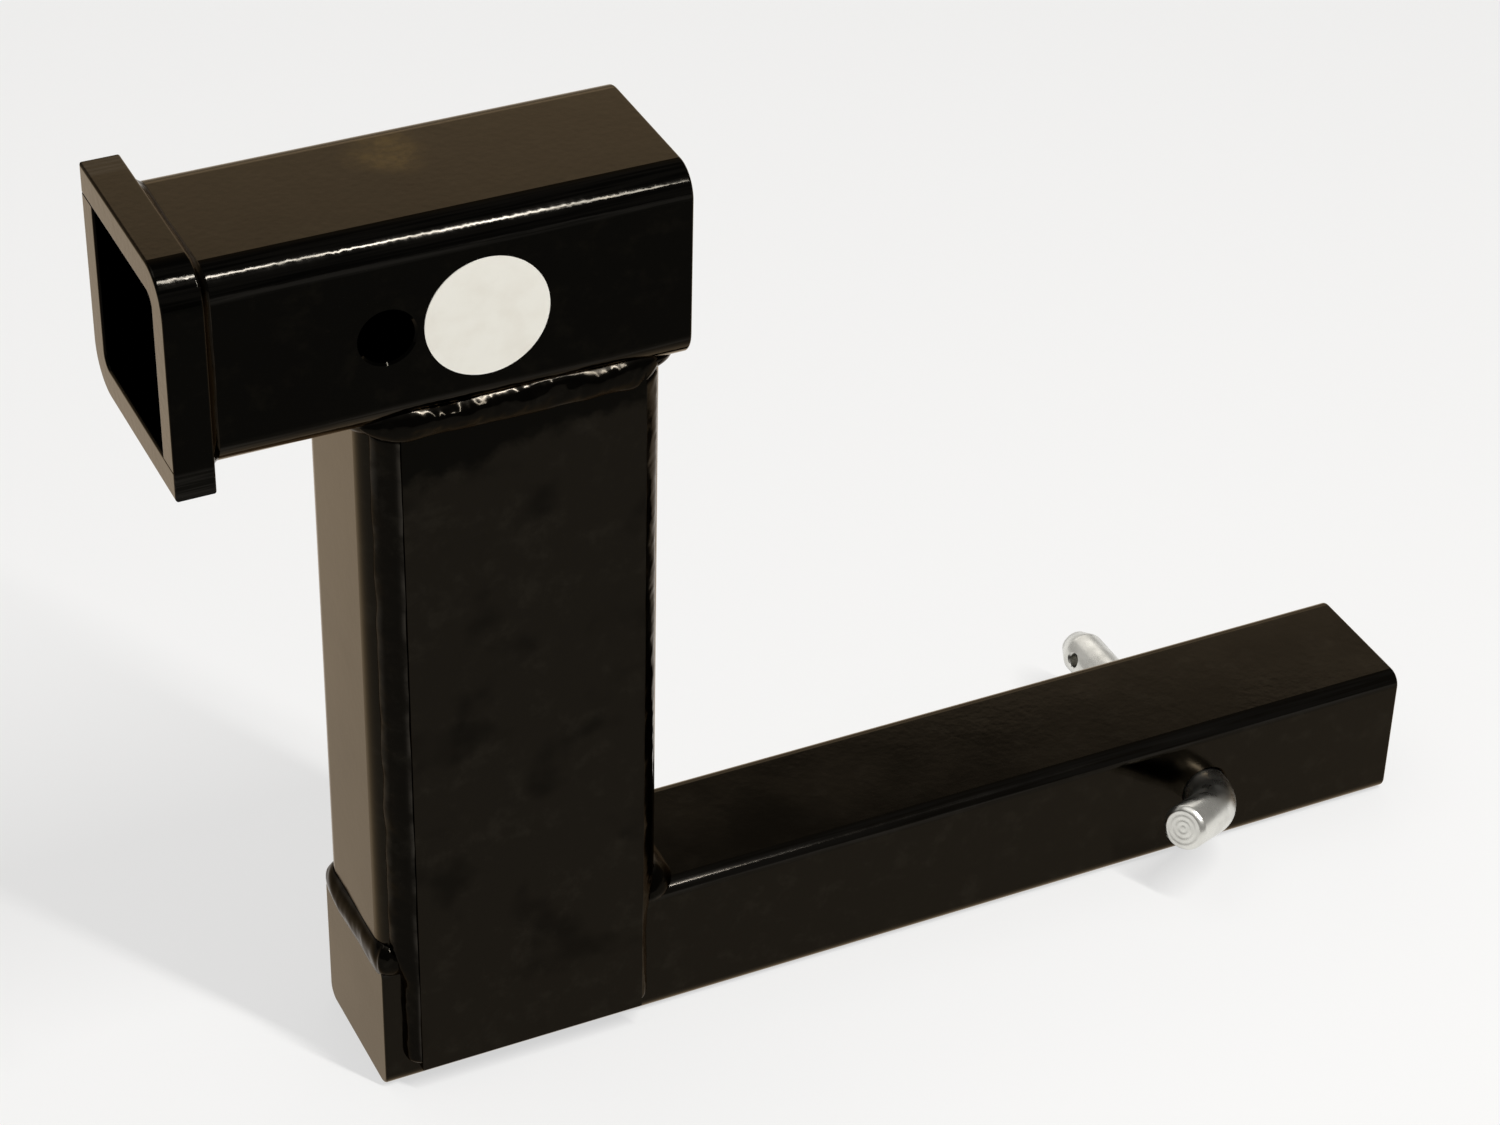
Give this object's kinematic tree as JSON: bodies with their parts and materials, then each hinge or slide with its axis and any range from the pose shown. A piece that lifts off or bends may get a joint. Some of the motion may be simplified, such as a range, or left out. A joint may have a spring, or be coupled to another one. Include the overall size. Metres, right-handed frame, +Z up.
{
  "type": "receiver hitch",
  "caption": "Raised tow-bar adapter: a square shank carries a post with a collared square socket on top, and a bent pin lies through the shank's cross hole.",
  "frame": {"origin": "middle of the receiver's cross hole, on the receiver's axis", "axes": "+X from the socket's mouth towards the shank's free end, +Y along the cross hole, +Z up"},
  "size_m": [0.4353, 0.1214, 0.3211],
  "materials": {
    "powder_coat": "gloss powder coat",
    "weld_coat": "gloss powder coat over rippled weld",
    "zinc": "zinc plated",
    "label": "blank vinyl"
  },
  "bodies": {
    "hitch": {"receiver_tube": "powder_coat", "round_label": "label", "post_tube": "powder_coat", "shank_bar": "powder_coat", "collar_upper_bar": "powder_coat", "collar_lower_bar": "powder_coat", "side_plate_near": "powder_coat", "side_plate_far": "powder_coat", "collar_weld": "weld_coat", "post_weld_near": "weld_coat", "post_weld_far": "weld_coat", "post_weld_front": "weld_coat", "post_weld_rear": "weld_coat", "plate_weld_near_front": "weld_coat", "plate_weld_near_rear": "weld_coat", "plate_weld_far_front": "weld_coat", "plate_weld_far_rear": "weld_coat", "lap_weld_near_front": "weld_coat", "lap_weld_near_rear": "weld_coat", "lap_weld_far_front": "weld_coat", "lap_weld_far_rear": "weld_coat", "foot_weld_front": "weld_coat", "foot_weld_rear": "weld_coat"},
    "pin": {"hitch_pin": "zinc"}
  },
  "joints": [
    {"name": "pin_slide", "type": "slide", "parent": "hitch", "child": "pin", "axis": [0, -1, 0], "range_m": [0, 0.1]}
  ]
}
